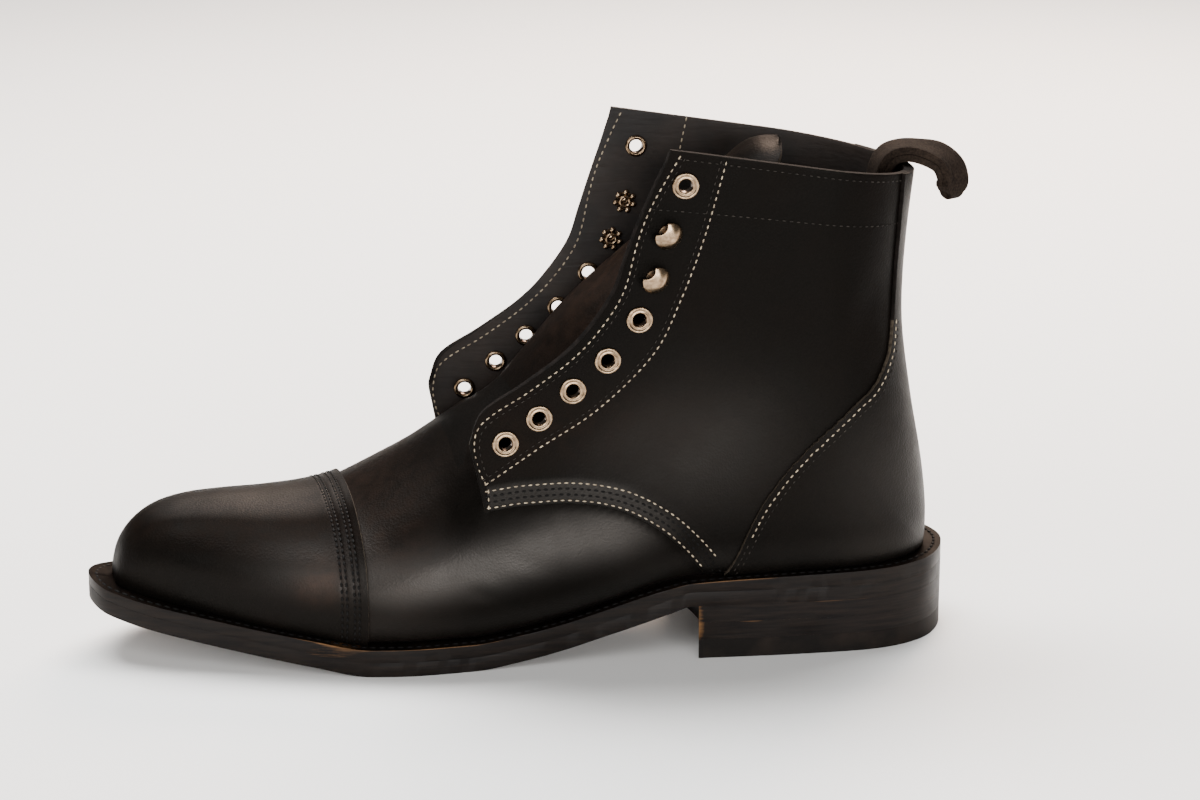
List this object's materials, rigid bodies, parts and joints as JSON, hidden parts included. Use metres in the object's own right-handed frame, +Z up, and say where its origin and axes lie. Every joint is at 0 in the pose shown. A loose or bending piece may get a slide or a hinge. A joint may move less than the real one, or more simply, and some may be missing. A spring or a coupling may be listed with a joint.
{
  "type": "cap-toe boot",
  "caption": "Lace-up ankle boot in black leather with a stitched toe cap, heel counter, open facings with eyelets and speed hooks, tongue, pull loop, welted sole and stacked heel.",
  "frame": {"origin": "on the floor under the middle of the heel", "axes": "+Z up, toe along -X, outer side of the foot along -Y, inner side along +Y"},
  "size_m": [0.3113, 0.1083, 0.1842],
  "materials": {
    "upper_leather": "waxed smooth black leather with a soft brown cast",
    "sole_leather": "burnished dark sole edge",
    "heel_rubber": "matt black",
    "insole_leather": "plain insole leather",
    "nickel": "polished nickel plate"
  },
  "bodies": {
    "root": {"outsole": "sole_leather", "welt": "sole_leather", "heel_lift_upper": "sole_leather", "heel_lift_lower": "sole_leather", "heel_top_piece": "heel_rubber", "insole": "insole_leather", "upper": "upper_leather", "toe_cap": "upper_leather", "counter": "upper_leather", "seam_band_outer": "upper_leather", "seam_band_inner": "upper_leather", "tongue": "upper_leather", "pull_loop": "upper_leather", "eyelet_outer_1": "nickel", "eyelet_outer_2": "nickel", "eyelet_outer_3": "nickel", "eyelet_outer_4": "nickel", "eyelet_outer_5": "nickel", "hook_outer_6": "nickel", "hook_outer_7": "nickel", "eyelet_outer_8": "nickel", "eyelet_inner_1": "nickel", "eyelet_inner_2": "nickel", "eyelet_inner_3": "nickel", "eyelet_inner_4": "nickel", "eyelet_inner_5": "nickel", "hook_inner_6": "nickel", "hook_inner_7": "nickel", "eyelet_inner_8": "nickel"}
  },
  "joints": []
}
